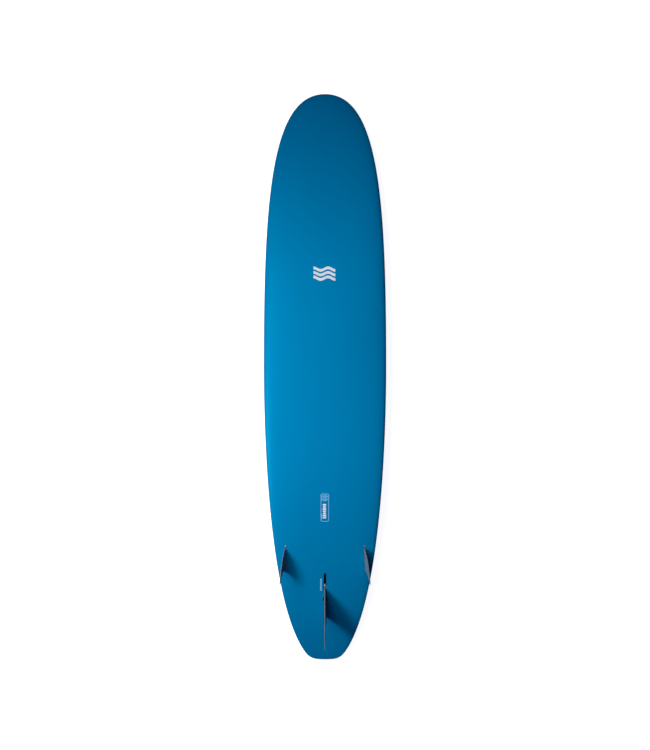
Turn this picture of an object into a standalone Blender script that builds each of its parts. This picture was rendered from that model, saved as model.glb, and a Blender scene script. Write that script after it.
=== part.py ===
"""A 9 ft longboard with a 2+1 fin set, lying deck down with its fins up.

Metres. +Y runs to the nose, +Z out of the bottom (the fin side), and the floor is at z = 0.
"""

import math

import bmesh
import bpy
from mathutils import Matrix, Vector

# Board: overall sizes and the outline of its right half, in half widths and half lengths.
LENGTH = 2.743
WIDTH = 0.584
THICKNESS = 0.076
HALF_LENGTH = LENGTH / 2
HALF_WIDTH = WIDTH / 2
NOSE_CURVE = ((0, 1), (0.904, 1), (1, 0.608), (1, 0.024))
TAIL_CURVE = ((1, 0.024), (1, -0.136), (0.9575, -0.7736), (0.346, -0.9683))
END_CURVE = ((0.346, -0.9683), (0.255, -0.997), (0.183, -1), (0, -1))
CURVE_STEPS = (18, 11, 6)

# Rocker, foil and rails, from the middle to the nose or the tail.
NOSE_ROCKER = 0.120
TAIL_ROCKER = 0.062
NOSE_ROCKER_POWER = 2.6
TAIL_ROCKER_POWER = 2.4
NOSE_TIP_THICKNESS = 0.018
TAIL_TIP_THICKNESS = 0.024
NOSE_FOIL_POWER = 2.4
TAIL_FOIL_POWER = 2.8
DECK_POWER = 2.3
MID_BOTTOM_POWER, NOSE_BOTTOM_POWER, TAIL_BOTTOM_POWER = 5, 4, 7
MID_RAIL_SHARE, NOSE_RAIL_SHARE, TAIL_RAIL_SHARE = 0.42, 0.50, 0.27
RAIL_STEPS = 6
FAN = 0.10
FAN_SPREAD = 0.12

# Construction inside the skin.
SKIN = 0.0015
GAP = 0.0003
CORE_DEPTH = 0.0021
STRINGER = 0.004

# Centre fin box, a 10 in slot box, and its fin.
CENTRE_BOX_Y = -1.0715
BOX_RECESS = 0.00045
BOX_SHOULDER = 0.0028
BOX_LENGTH, BOX_WIDTH, BOX_DEPTH = 0.267, 0.022, 0.0254
BOX_CORNER = 0.006
NECK_LENGTH, NECK_WIDTH = 0.258, 0.0124
SLOT_LENGTH, SLOT_WIDTH, SLOT_DEPTH = 0.254, 0.0096, 0.022
GROOVE_LENGTH, GROOVE_WIDTH = 0.250, 0.0165
GROOVE_TOP, GROOVE_FLOOR = 0.011, 0.016
NOTCH_WIDTH, NOTCH_LENGTH, NOTCH_CORNER = 0.019, 0.012, 0.003
EAR_LENGTH = 0.016
CENTRE_FIN_LEADING = 0.0575
CENTRE_FIN_LEAD = ((0, 0), (-0.045, 0.085), (-0.110, 0.190), (-0.215, 0.203))
CENTRE_FIN_TRAIL = ((-0.145, 0), (-0.142, 0.045), (-0.165, 0.115), (-0.233, 0.196))
CENTRE_FIN_THICKNESS = 0.009
CENTRE_TAB_DEPTH = 0.020
CENTRE_TAB_ENDS = (-0.083, 0.052)
TAB_TOP, TAB_TAPER, TAB_PLAY = 0.0002, 0.002, 0.0005
TONGUE_FRONT = 0.0727
TONGUE_TOP, TONGUE_FLOOR = 0.0033, 0.010
SCREW_Y = 0.0685
SCREW_HEAD, SCREW_HEAD_HEIGHT = 0.0080, 0.0026
SCREW_CROWN, SCREW_CROWN_RISE, SCREW_CROWN_DEPTH = 0.0058, 0.0002, 0.0010
SCREW_SHANK, SCREW_TIP, SCREW_TIP_DEPTH, SCREW_TIP_TAPER = 0.0042, 0.0020, 0.0210, 0.0012
CROSS_LENGTH, CROSS_WIDTH, CROSS_DEPTH = 0.0046, 0.0011, 0.0014
PLATE_WIDTH, PLATE_LENGTH, PLATE_THICKNESS = 0.0156, 0.011, 0.0028
PIN_Y, PIN_DEPTH = -0.060, 0.0135
PIN_LENGTH, PIN_DIAMETER = 0.0159, 0.0044

# Fin foils: where a section is measured, from leading to trailing edge, and its thickness curve as the
# factors of the root, first, second, third and fourth powers of that place.
FOIL_STATIONS = (0, 0.04, 0.14, 0.32, 0.55, 0.8, 1)
FOIL = (1.4845, -0.63, -1.758, 1.4215, -0.518)
TRAILING_EDGE = 0.0004
TIP_THINNING = 0.6
FLAT_FACE_SHARE = 0.35

# Side fin boxes and fins, set out on the right and mirrored to the left.
SIDE_X, SIDE_Y = 0.1935, -0.878
TOE = math.radians(3.5)
CANT = math.radians(4)
SIDE_BOX_ENDS = (-0.062, 0.076)
SIDE_BOX_WIDTH, SIDE_BOX_DEPTH, SIDE_BOX_STEP = 0.016, 0.023, 0.002
SIDE_NECK_CORNER, SIDE_SLOT_CORNER = 0.005, 0.001
SIDE_SLOT_ENDS = (-0.0575, 0.061)
SIDE_SLOT_WIDTH, SIDE_SLOT_DEPTH = 0.0074, 0.019
SIDE_FIN_LEADING = 0.057
SIDE_FIN_LEAD = ((0, 0), (-0.022, 0.050), (-0.062, 0.104), (-0.137, 0.108))
SIDE_FIN_TRAIL = ((-0.114, 0), (-0.112, 0.028), (-0.118, 0.070), (-0.151, 0.103))
SIDE_FIN_THICKNESS = 0.0066
SIDE_TAB_WIDTH, SIDE_TAB_DEPTH = 0.0070, 0.018
GRUB_Y, GRUB_ANGLE = 0.0675, math.radians(47.7)
GRUB_DIAMETER, GRUB_TOP, GRUB_LENGTH = 0.0048, 0.0015, 0.010
GRUB_HEX, GRUB_HEX_DEPTH = 0.0025, 0.003
INSERT_DIAMETER, INSERT_BORE, INSERT_LENGTH = 0.0066, 0.0054, 0.0045

# Foam blocks round the hardware.
CENTRE_BLOCK = (0.034, 0.286, 0.031)
SIDE_BLOCK = (0.026, 0.152, 0.028)
PLUG_BLOCK_DIAMETER, PLUG_BLOCK_DEPTH = 0.050, 0.024

# Deck hardware.
LEASH_Y = -1.276
CUP_DIAMETER, CUP_DEPTH = 0.028, 0.019
BOWL_DIAMETER, BOWL_DEPTH, BOWL_CORNER = 0.024, 0.016, 0.003
BAR_DIAMETER, BAR_DEPTH = 0.0035, 0.005
VENT_X, VENT_Y = 0.045, 0.560
VENT_DIAMETER, VENT_DEPTH = 0.014, 0.012
VENT_WELL, VENT_WELL_DEPTH = 0.0096, 0.0072
VENT_SEAT, VENT_SEAT_DEPTH, VENT_BORE = 0.0076, 0.0082, 0.003
MEMBRANE_DIAMETER, MEMBRANE_TOP, MEMBRANE_FLOOR = 0.0070, 0.0073, 0.0079
O_RING_DIAMETER, O_RING_THICKNESS, O_RING_DEPTH = 0.0072, 0.0016, 0.0061
CAP_DIAMETER, CAP_BORE, CAP_TOP, CAP_FLOOR = 0.0090, 0.0012, 0.0008, 0.0050
CAP_SLOT_WIDTH, CAP_SLOT_DEPTH = 0.0012, 0.0010
RIM_RECESS = 0.0002

# How far a cutter stands out of the surface that it opens, and how far pieces of one solid sink together.
LID = 0.006
OVERLAP = 0.001

BOTTOM, DECK = 1, -1
ROUND = 24


def bezier(curve, t):
    a, b, c, d = (Vector(point) for point in curve)
    s = 1 - t
    return a * s**3 + b * (3 * s * s * t) + c * (3 * s * t * t) + d * t**3


def blend(mid, nose, tail, y):
    share = abs(y) / HALF_LENGTH
    return mid + ((nose if y > 0 else tail) - mid) * share


def outline_points():
    points = [bezier(NOSE_CURVE, 0)]
    for curve, steps in zip((NOSE_CURVE, TAIL_CURVE, END_CURVE), CURVE_STEPS):
        points += [bezier(curve, k / steps) for k in range(1, steps + 1)]
    return [(x * HALF_WIDTH, y * HALF_LENGTH) for x, y in points]


def outline_x(y):
    """Half the width at y, by halving the curve's parameter."""
    share = max(-1, min(1, y / HALF_LENGTH))
    curve = next(c for c in (NOSE_CURVE, TAIL_CURVE, END_CURVE) if share >= c[3][1])
    low, high = 0, 1
    for _ in range(40):
        t = (low + high) / 2
        if bezier(curve, t).y > share:
            low = t
        else:
            high = t
    return bezier(curve, low).x * HALF_WIDTH


def spine_y(x, y):
    """Where the spoke to the outline point (x, y) leaves the centreline: spokes fan out at the tips."""
    share = y / HALF_LENGTH
    return y - math.copysign((FAN + FAN_SPREAD * x / HALF_WIDTH) * share * share, y)


def rocker(y):
    share = abs(y) / HALF_LENGTH
    if y > 0:
        return NOSE_ROCKER * share**NOSE_ROCKER_POWER
    return TAIL_ROCKER * share**TAIL_ROCKER_POWER


def thickness(y):
    share = abs(y) / HALF_LENGTH
    tip = NOSE_TIP_THICKNESS if y > 0 else TAIL_TIP_THICKNESS
    power = NOSE_FOIL_POWER if y > 0 else TAIL_FOIL_POWER
    return tip + (THICKNESS - tip) * (1 - share**power)


def rail(edge_y, sheet):
    """The section's exponent, and the share of the thickness on this side of the rail's apex."""
    share = blend(MID_RAIL_SHARE, NOSE_RAIL_SHARE, TAIL_RAIL_SHARE, edge_y)
    if sheet == DECK:
        return DECK_POWER, share - 1
    return blend(MID_BOTTOM_POWER, NOSE_BOTTOM_POWER, TAIL_BOTTOM_POWER, edge_y), share


def apex_height(y, edge_y):
    return -rocker(y) - thickness(y) * rail(edge_y, BOTTOM)[1]


def loose_point(edge, sheet, angle):
    """A point of the hull before it is laid on the floor; angle 0 is the spine and 90 degrees the apex."""
    edge_x, edge_y = edge
    power, share = rail(edge_y, sheet)
    reach = math.sin(angle) ** (2 / power)
    lift = max(math.cos(angle), 0) ** (2 / power) if angle < math.pi / 2 else 0
    spine = spine_y(edge_x, edge_y)
    y = spine + reach * (edge_y - spine)
    return Vector((reach * edge_x, y, apex_height(y, edge_y) + thickness(y) * share * lift))


def resting_line():
    """(height, tilt) that put the nose end and the tail end of the deck on the floor."""
    angles = [k * math.pi / 2 / RAIL_STEPS for k in range(RAIL_STEPS + 1)]
    deck = [loose_point(edge, DECK, a) for edge in outline_points() for a in angles]
    tilt = 0
    for _ in range(4):
        nose = min((p for p in deck if p.y > 0), key=lambda p: p.z + tilt * p.y)
        tail = min((p for p in deck if p.y < 0), key=lambda p: p.z + tilt * p.y)
        tilt = (tail.z - nose.z) / (nose.y - tail.y)
    return -nose.z - tilt * nose.y, tilt


REST_HEIGHT, REST_TILT = resting_line()


def laid(point):
    return Vector((point.x, point.y, point.z + REST_HEIGHT + REST_TILT * point.y))


def surface_height(x, y, sheet):
    edge_y = y
    for _ in range(20):
        edge_x = outline_x(edge_y)
        reach = min(abs(x) / edge_x, 1)
        edge_y = y + (edge_y - spine_y(edge_x, edge_y)) * (1 - reach)
    power, share = rail(edge_y, sheet)
    height = apex_height(y, edge_y) + thickness(y) * share * (1 - reach**power) ** (1 / power)
    return height + REST_HEIGHT + REST_TILT * y


def surface_frame(x, y, sheet, heading=0):
    """Local axes on the hull: X across, Y forward, turned by heading, and Z straight out of the surface."""
    step = 0.004
    slope_x = surface_height(x + step, y, sheet) - surface_height(x - step, y, sheet)
    slope_y = surface_height(x, y + step, sheet) - surface_height(x, y - step, sheet)
    out = Vector((-slope_x, -slope_y, 2 * step)).normalized() * sheet
    forward = Vector((-math.sin(heading), math.cos(heading), 0))
    forward = (forward - out * forward.dot(out)).normalized()
    turn = Matrix((forward.cross(out), forward, out)).transposed().to_4x4()
    return Matrix.Translation((x, y, surface_height(x, y, sheet))) @ turn


def shift(x=0, y=0, z=0):
    return Matrix.Translation((x, y, z))


def make_collection(name):
    made = bpy.data.collections.new(name)
    bpy.context.scene.collection.children.link(made)
    return made


def make_material(name, colour, roughness, metallic=0):
    made = bpy.data.materials.new(name)
    made.use_nodes = True
    shader = made.node_tree.nodes["Principled BSDF"]
    shader.inputs["Base Color"].default_value = (*colour, 1)
    shader.inputs["Roughness"].default_value = roughness
    shader.inputs["Metallic"].default_value = metallic
    made.diffuse_color = (*colour, 1)
    return made


def make_object(name, mesh, frame, finish=None):
    """An object of the board, or, with no finish, a cutter."""
    made = bpy.data.objects.new(name, mesh)
    made.matrix_world = frame
    if finish:
        board.objects.link(made)
        mesh.materials.append(make_material(name, *finish))
    else:
        cutters.objects.link(made)
        made.hide_render = True
        made.display_type = "WIRE"
    return made


def to_mesh(name, bm):
    bmesh.ops.recalc_face_normals(bm, faces=bm.faces)
    mesh = bpy.data.meshes.new(name)
    bm.to_mesh(mesh)
    bm.free()
    return mesh


def rounded_outline(length, width, radius, steps=6):
    """A rectangle with rounded corners, length along Y."""
    corners = ((1, 1, 0), (-1, 1, 1), (-1, -1, 2), (1, -1, 3))
    points = []
    for side_x, side_y, quarter in corners:
        for k in range(steps + 1):
            angle = (quarter + k / steps) * math.pi / 2
            points.append(
                (
                    side_x * (width / 2 - radius) + radius * math.cos(angle),
                    side_y * (length / 2 - radius) + radius * math.sin(angle),
                )
            )
    return points


def extrusion(name, outline, low, high, frame, finish=None, sideways=False):
    """A flat outline made solid from low to high. Sideways, the outline is (y, z) and the depth is x."""
    curve = bpy.data.curves.new(name, "CURVE")
    curve.dimensions = "2D"
    curve.fill_mode = "BOTH"
    curve.extrude = (high - low) / 2
    spline = curve.splines.new("POLY")
    spline.points.add(len(outline) - 1)
    for point, (u, v) in zip(spline.points, outline):
        point.co = (u, v, 0, 1)
    spline.use_cyclic_u = True
    drawn = bpy.data.objects.new(name, curve)
    bpy.context.scene.collection.objects.link(drawn)
    graph = bpy.context.evaluated_depsgraph_get()
    bm = bmesh.new()
    bm.from_mesh(bpy.data.meshes.new_from_object(drawn.evaluated_get(graph)))
    bpy.data.objects.remove(drawn)
    bmesh.ops.remove_doubles(bm, verts=bm.verts, dist=1e-6)
    turn = Matrix(((0, 0, 1), (1, 0, 0), (0, 1, 0))).to_4x4() if sideways else Matrix()
    bmesh.ops.transform(bm, verts=bm.verts, matrix=turn @ shift(z=(low + high) / 2))
    return make_object(name, to_mesh(name, bm), frame, finish)


def block(name, size, top, frame, finish=None):
    """A box of size (x, y, z) whose upper face is at z = top."""
    bm = bmesh.new()
    bmesh.ops.create_cube(bm, size=1)
    bmesh.ops.scale(bm, verts=bm.verts, vec=size)
    bmesh.ops.translate(bm, verts=bm.verts, vec=(0, 0, top - size[2] / 2))
    return make_object(name, to_mesh(name, bm), frame, finish)


def rod(name, diameter, low, high, frame, finish=None, sides=ROUND):
    bm = bmesh.new()
    bmesh.ops.create_cone(
        bm,
        cap_ends=True,
        segments=sides,
        radius1=diameter / 2,
        radius2=diameter / 2,
        depth=high - low,
    )
    bmesh.ops.translate(bm, verts=bm.verts, vec=(0, 0, (low + high) / 2))
    return make_object(name, to_mesh(name, bm), frame, finish)


def turned(name, profile, frame, finish=None, ring=False, sides=ROUND):
    """A profile of (radius, height) turned round Z; a ring's profile is closed on itself."""
    bm = bmesh.new()
    points = [bm.verts.new((radius, 0, height)) for radius, height in profile]
    for first, second in zip(points, points[1:] + points[:1] if ring else points[1:]):
        bm.edges.new((first, second))
    mesh = bpy.data.meshes.new(name)
    bm.to_mesh(mesh)
    bm.free()
    made = make_object(name, mesh, frame, finish)
    screw = made.modifiers.new("turn", "SCREW")
    screw.axis = "Z"
    screw.steps = screw.render_steps = sides
    screw.use_merge_vertices = True
    screw.merge_threshold = 1e-6
    screw.use_normal_calculate = not ring
    screw.use_normal_flip = ring
    return made


def combine(made, *tools, operation="DIFFERENCE"):
    for tool in tools:
        modifier = made.modifiers.new(tool.name, "BOOLEAN")
        modifier.operation = operation
        modifier.solver = "EXACT"
        modifier.object = tool
    return made


def hull():
    """The outside of the board as one closed bmesh, and its faces on each sheet."""
    bm = bmesh.new()
    edges = outline_points()
    last = len(edges) - 1
    points = {}

    def vertex(side, sheet, station, k):
        side = 1 if k == 0 or station in (0, last) else side
        sheet = BOTTOM if k == RAIL_STEPS else sheet
        key = side, sheet, station, k
        if key not in points:
            co = laid(loose_point(edges[station], sheet, k * math.pi / 2 / RAIL_STEPS))
            co.x *= side
            points[key] = bm.verts.new(co)
        return points[key]

    sheets = {BOTTOM: [], DECK: []}
    for side in (1, -1):
        for sheet, faces in sheets.items():
            for station in range(last):
                for k in range(RAIL_STEPS):
                    corners = [
                        vertex(side, sheet, station, k),
                        vertex(side, sheet, station + 1, k),
                        vertex(side, sheet, station + 1, k + 1),
                        vertex(side, sheet, station, k + 1),
                    ]
                    faces.append(bm.faces.new(corners[:: side * sheet]))
    bm.normal_update()
    return bm, sheets


def inset(vertex, depth):
    return vertex.co - vertex.normal * depth * vertex.calc_shell_factor()


def skin(name, sheet, finish):
    """One sheet of the hull, thickened inwards, ending half a gap short of the rail's apex."""
    whole, sheets = hull()
    faces = set(sheets[sheet])
    clear = Vector((0, 0, sheet * GAP / 2))
    bm = bmesh.new()
    outer, inner = {}, {}
    for vertex in {vertex for face in faces for vertex in face.verts}:
        outer[vertex] = bm.verts.new(vertex.co + clear)
        inner[vertex] = bm.verts.new(inset(vertex, SKIN) + clear)
    for face in faces:
        bm.faces.new([outer[vertex] for vertex in face.verts])
        bm.faces.new([inner[vertex] for vertex in reversed(face.verts)])
        for loop in face.loops:
            if any(other not in faces for other in loop.edge.link_faces):
                first, second = loop.vert, loop.link_loop_next.vert
                bm.faces.new((outer[second], outer[first], inner[first], inner[second]))
    whole.free()
    return make_object(name, to_mesh(name, bm), Matrix(), finish)


def core(name, low, high, finish=None):
    """The space inside the skins between two planes of constant x; None leaves a side whole."""
    bm, _ = hull()
    places = {vertex: inset(vertex, CORE_DEPTH) for vertex in bm.verts}
    for vertex, place in places.items():
        vertex.co = place
    for x, outward in ((low, -1), (high, 1)):
        if x is None:
            continue
        cut = bmesh.ops.bisect_plane(
            bm,
            geom=bm.verts[:] + bm.edges[:] + bm.faces[:],
            dist=1e-7,
            plane_co=(x, 0, 0),
            plane_no=(outward, 0, 0),
            clear_outer=True,
        )
        rim = [e for e in cut["geom_cut"] if isinstance(e, bmesh.types.BMEdge)]
        bmesh.ops.edgeloop_fill(bm, edges=rim)
    return make_object(name, to_mesh(name, bm), Matrix(), finish)


def blade(name, lead, trail, front, thick, frame, finish, cant=0, flat_side=0, sections=8):
    """A foiled fin blade between its leading and trailing curves, standing on z = 0."""
    bm = bmesh.new()
    rows = []
    for n in range(sections + 1):
        t = n / sections
        nose, tail = bezier(lead, t), bezier(trail, t)
        depth = thick * (1 - TIP_THINNING * t**3)
        row = []
        for side in (1, -1):
            flat = side == flat_side
            share = 1 if not flat_side else FLAT_FACE_SHARE if flat else 2 - FLAT_FACE_SHARE
            for c in FOIL_STATIONS if side == 1 else FOIL_STATIONS[:0:-1]:
                foil = sum(k * c**power for k, power in zip(FOIL, (0.5, 1, 2, 3, 4)))
                half = side * share * (depth * foil + TRAILING_EDGE * c)
                place = nose + (tail - nose) * c
                row.append(Vector((half + math.tan(cant) * place.y, front + place.x, place.y)))
        rows.append([bm.verts.new(point) for point in row])
    for lower, upper in zip(rows, rows[1:]):
        for k in range(len(lower)):
            n = (k + 1) % len(lower)
            bm.faces.new((lower[k], lower[n], upper[n], upper[k]))
    bm.faces.new(rows[0])
    bm.faces.new(rows[-1])
    return make_object(name, to_mesh(name, bm), frame, finish)


PAINT = ((0.0, 0.195, 0.456), 0.35)
FOAM = ((0.86, 0.85, 0.80), 0.9)
DENSE_FOAM = ((0.80, 0.74, 0.55), 0.85)
WOOD = ((0.52, 0.36, 0.19), 0.7)
BLACK_PLASTIC = ((0.012, 0.012, 0.014), 0.4)
FIN_PLASTIC = ((0.045, 0.05, 0.06), 0.35)
STEEL = ((0.62, 0.62, 0.63), 0.28, 1)
BRASS = ((0.72, 0.50, 0.22), 0.32, 1)
WHITE_NYLON = ((0.80, 0.82, 0.84), 0.5)
MEMBRANE = ((0.88, 0.88, 0.86), 0.6)
RUBBER = ((0.02, 0.02, 0.02), 0.6)


def centre_hardware(frame):
    """The slot box, its fin with pin, plate and screw, and the foam block, all in the box's frame."""
    box = extrusion(
        "centre_fin_box",
        rounded_outline(BOX_LENGTH, BOX_WIDTH, BOX_CORNER, 3),
        -BOX_DEPTH,
        -BOX_SHOULDER,
        frame,
        BLACK_PLASTIC,
    )
    neck = extrusion(
        "centre_neck",
        rounded_outline(NECK_LENGTH, NECK_WIDTH, NECK_WIDTH / 2),
        -BOX_SHOULDER - OVERLAP,
        -BOX_RECESS,
        frame,
    )
    ear = extrusion(
        "centre_ear",
        rounded_outline(EAR_LENGTH, BOX_WIDTH, NOTCH_CORNER, 3),
        -BOX_SHOULDER - OVERLAP,
        -BOX_RECESS,
        frame,
    )
    slot = extrusion(
        "centre_slot",
        rounded_outline(SLOT_LENGTH, SLOT_WIDTH, SLOT_WIDTH / 2),
        -SLOT_DEPTH,
        LID,
        frame,
    )
    groove = block(
        "centre_groove",
        (GROOVE_WIDTH, GROOVE_LENGTH, GROOVE_FLOOR - GROOVE_TOP),
        -GROOVE_TOP,
        frame,
    )
    notch = extrusion(
        "centre_notch",
        rounded_outline(NOTCH_LENGTH, NOTCH_WIDTH, NOTCH_CORNER, 3),
        -GROOVE_FLOOR,
        LID,
        frame,
    )
    combine(box, neck, ear, operation="UNION")
    combine(box, slot, groove, notch)

    fin = blade(
        "centre_fin",
        CENTRE_FIN_LEAD,
        CENTRE_FIN_TRAIL,
        CENTRE_FIN_LEADING,
        CENTRE_FIN_THICKNESS,
        frame,
        FIN_PLASTIC,
    )
    rear, front = CENTRE_TAB_ENDS
    tab_outline = (
        (rear, -CENTRE_TAB_DEPTH),
        (front, -CENTRE_TAB_DEPTH),
        (front, -TONGUE_FLOOR),
        (TONGUE_FRONT, -TONGUE_FLOOR),
        (TONGUE_FRONT, -TONGUE_TOP),
        (front, -TONGUE_TOP),
        (front - TAB_TAPER, TAB_TOP),
        (rear + TAB_TAPER, TAB_TOP),
        (rear, -TONGUE_TOP),
    )
    half = CENTRE_FIN_THICKNESS / 2
    tab = extrusion("centre_tab", tab_outline, -half, half, frame, sideways=True)
    across = Matrix.Rotation(math.pi / 2, 4, "Y")
    pin_place = frame @ shift(y=PIN_Y, z=-PIN_DEPTH) @ across
    pin_hole = rod("centre_pin_hole", PIN_DIAMETER + 2 * GAP, -BOX_WIDTH, BOX_WIDTH, pin_place)
    screw_place = frame @ shift(y=SCREW_Y)
    screw_hole = rod("centre_screw_hole", SCREW_SHANK + 2 * GAP, -BOX_DEPTH, LID, screw_place)
    combine(fin, tab, operation="UNION")
    combine(fin, pin_hole, screw_hole)

    rod("centre_fin_pin", PIN_DIAMETER, -PIN_LENGTH / 2, PIN_LENGTH / 2, pin_place, BRASS)
    plate = block(
        "centre_fin_plate",
        (PLATE_WIDTH, PLATE_LENGTH, PLATE_THICKNESS),
        -GROOVE_TOP - GAP,
        screw_place,
        STEEL,
    )
    combine(plate, screw_hole)

    seat = -TONGUE_TOP + GAP
    top = seat + SCREW_HEAD_HEIGHT
    screw = turned(
        "centre_fin_screw",
        (
            (0, top),
            (SCREW_CROWN / 2, top - SCREW_CROWN_RISE),
            (SCREW_HEAD / 2, top - SCREW_CROWN_DEPTH),
            (SCREW_HEAD / 2, seat),
            (SCREW_SHANK / 2, seat),
            (SCREW_SHANK / 2, SCREW_TIP_TAPER - SCREW_TIP_DEPTH),
            (SCREW_TIP / 2, -SCREW_TIP_DEPTH),
            (0, -SCREW_TIP_DEPTH),
        ),
        screw_place,
        STEEL,
    )
    height = CROSS_DEPTH + OVERLAP
    combine(
        screw,
        block("cross_1", (CROSS_LENGTH, CROSS_WIDTH, height), top + OVERLAP, screw_place),
        block("cross_2", (CROSS_WIDTH, CROSS_LENGTH, height), top + OVERLAP, screw_place),
    )

    cavity = extrusion(
        "centre_cavity",
        rounded_outline(BOX_LENGTH + 2 * GAP, BOX_WIDTH + 2 * GAP, BOX_CORNER, 3),
        -BOX_DEPTH - GAP,
        LID,
        frame,
    )
    neck_hole = extrusion(
        "centre_neck_hole",
        rounded_outline(NECK_LENGTH + 2 * GAP, NECK_WIDTH + 2 * GAP, NECK_WIDTH / 2 + GAP),
        -LID,
        LID,
        frame,
    )
    ear_hole = extrusion(
        "centre_ear_hole",
        rounded_outline(EAR_LENGTH + 2 * GAP, BOX_WIDTH + 2 * GAP, NOTCH_CORNER, 3),
        -LID,
        LID,
        frame,
    )
    return cavity, (neck_hole, ear_hole)


def side_hardware(side):
    """One side's box, fin, threaded insert and grub screw, in a frame on the hull with its toe-in."""
    label = "right" if side > 0 else "left"
    frame = surface_frame(side * SIDE_X, SIDE_Y, BOTTOM, side * TOE)
    rear, front = SIDE_BOX_ENDS
    length, middle = front - rear, frame @ shift(y=(front + rear) / 2)
    box = extrusion(
        f"side_fin_box_{label}",
        rounded_outline(length, SIDE_BOX_WIDTH, BOX_CORNER, 3),
        -SIDE_BOX_DEPTH,
        -BOX_SHOULDER,
        middle,
        PAINT,
    )
    neck_length, neck_width = length - 2 * SIDE_BOX_STEP, SIDE_BOX_WIDTH - 2 * SIDE_BOX_STEP
    neck = extrusion(
        f"side_neck_{label}",
        rounded_outline(neck_length, neck_width, SIDE_NECK_CORNER, 3),
        -BOX_SHOULDER - OVERLAP,
        -RIM_RECESS,
        middle,
    )
    slot_rear, slot_front = SIDE_SLOT_ENDS
    slot = extrusion(
        f"side_slot_{label}",
        rounded_outline(slot_front - slot_rear, SIDE_SLOT_WIDTH, SIDE_SLOT_CORNER, 2),
        -SIDE_SLOT_DEPTH,
        LID,
        frame @ shift(y=(slot_front + slot_rear) / 2),
    )
    # The grub screw's axis leans forward as it rises out of the surface.
    port = frame @ shift(y=GRUB_Y) @ Matrix.Rotation(GRUB_ANGLE - math.pi / 2, 4, "X")
    insert_hole = rod(
        f"insert_hole_{label}", INSERT_DIAMETER + 2 * GAP, -INSERT_LENGTH - GAP, 2 * LID, port
    )
    screw_reach = GRUB_TOP + GRUB_LENGTH + GAP
    port_hole = rod(f"port_hole_{label}", INSERT_BORE, -screw_reach - OVERLAP, 2 * LID, port)
    combine(box, neck, operation="UNION")
    combine(box, slot, insert_hole, port_hole)

    insert = turned(
        f"side_screw_insert_{label}",
        (
            (INSERT_BORE / 2, -INSERT_LENGTH),
            (INSERT_DIAMETER / 2, -INSERT_LENGTH),
            (INSERT_DIAMETER / 2, LID),
            (INSERT_BORE / 2, LID),
        ),
        port,
        WHITE_NYLON,
        ring=True,
        sides=16,
    )
    cover = (5 * INSERT_DIAMETER, 5 * INSERT_DIAMETER, 3 * LID)
    above = block(f"insert_trim_{label}", cover, 3 * LID - BOX_RECESS, frame @ shift(y=GRUB_Y))
    combine(insert, above)

    grub = rod(
        f"side_fin_screw_{label}",
        GRUB_DIAMETER,
        -GRUB_TOP - GRUB_LENGTH,
        -GRUB_TOP,
        port,
        STEEL,
        sides=16,
    )
    across_corners = GRUB_HEX / math.cos(math.pi / 6)
    socket = rod(f"hex_{label}", across_corners, -GRUB_TOP - GRUB_HEX_DEPTH, LID, port, sides=6)
    combine(grub, socket)

    fin = blade(
        f"side_fin_{label}",
        SIDE_FIN_LEAD,
        SIDE_FIN_TRAIL,
        SIDE_FIN_LEADING,
        SIDE_FIN_THICKNESS,
        frame,
        FIN_PLASTIC,
        cant=side * CANT,
        flat_side=-side,
        sections=6,
    )
    # The screw's flat tip meets the tab on a slanted face square to its axis.
    tip = Vector((GRUB_Y, 0)) - screw_reach * Vector((math.cos(GRUB_ANGLE), math.sin(GRUB_ANGLE)))
    slope = 1 / math.tan(GRUB_ANGLE)
    shoulder, toe = SIDE_FIN_LEADING, slot_front - TAB_PLAY
    tab_rear = slot_rear + TAB_PLAY
    tab_outline = (
        (tab_rear, -SIDE_TAB_DEPTH),
        (toe, -SIDE_TAB_DEPTH),
        (toe, tip.y + (tip.x - toe) * slope),
        (shoulder, tip.y + (tip.x - shoulder) * slope),
        (shoulder, TAB_TOP),
        (tab_rear, TAB_TOP),
    )
    half = SIDE_TAB_WIDTH / 2
    tab = extrusion(f"side_tab_{label}", tab_outline, -half, half, frame, sideways=True)
    combine(fin, tab, operation="UNION")

    cavity = extrusion(
        f"side_cavity_{label}",
        rounded_outline(length + 2 * GAP, SIDE_BOX_WIDTH + 2 * GAP, BOX_CORNER, 3),
        -SIDE_BOX_DEPTH - GAP,
        LID,
        middle,
    )
    hole = extrusion(
        f"side_hole_{label}",
        rounded_outline(neck_length + 2 * GAP, neck_width + 2 * GAP, SIDE_NECK_CORNER, 3),
        -LID,
        LID,
        middle,
    )
    return middle, cavity, hole


def leash_plug(frame):
    radius, bowl = CUP_DIAMETER / 2, BOWL_DIAMETER / 2
    cup = turned(
        "leash_plug_cup",
        (
            (0, -BOWL_DEPTH),
            (bowl - BOWL_CORNER, -BOWL_DEPTH),
            (bowl, BOWL_CORNER - BOWL_DEPTH),
            (bowl, -RIM_RECESS),
            (radius, -RIM_RECESS),
            (radius, -CUP_DEPTH),
            (0, -CUP_DEPTH),
        ),
        frame,
        BLACK_PLASTIC,
    )
    bar_place = frame @ shift(z=-BAR_DEPTH) @ Matrix.Rotation(math.pi / 2, 4, "Y")
    bar_hole = BAR_DIAMETER + 2 * GAP
    combine(cup, rod("leash_bar_hole", bar_hole, -CUP_DIAMETER, CUP_DIAMETER, bar_place, sides=16))
    reach = radius - GAP
    rod("leash_plug_bar", BAR_DIAMETER, -reach, reach, bar_place, STEEL, sides=16)
    return rod("leash_cavity", CUP_DIAMETER + 2 * GAP, -CUP_DEPTH - GAP, LID, frame)


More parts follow.
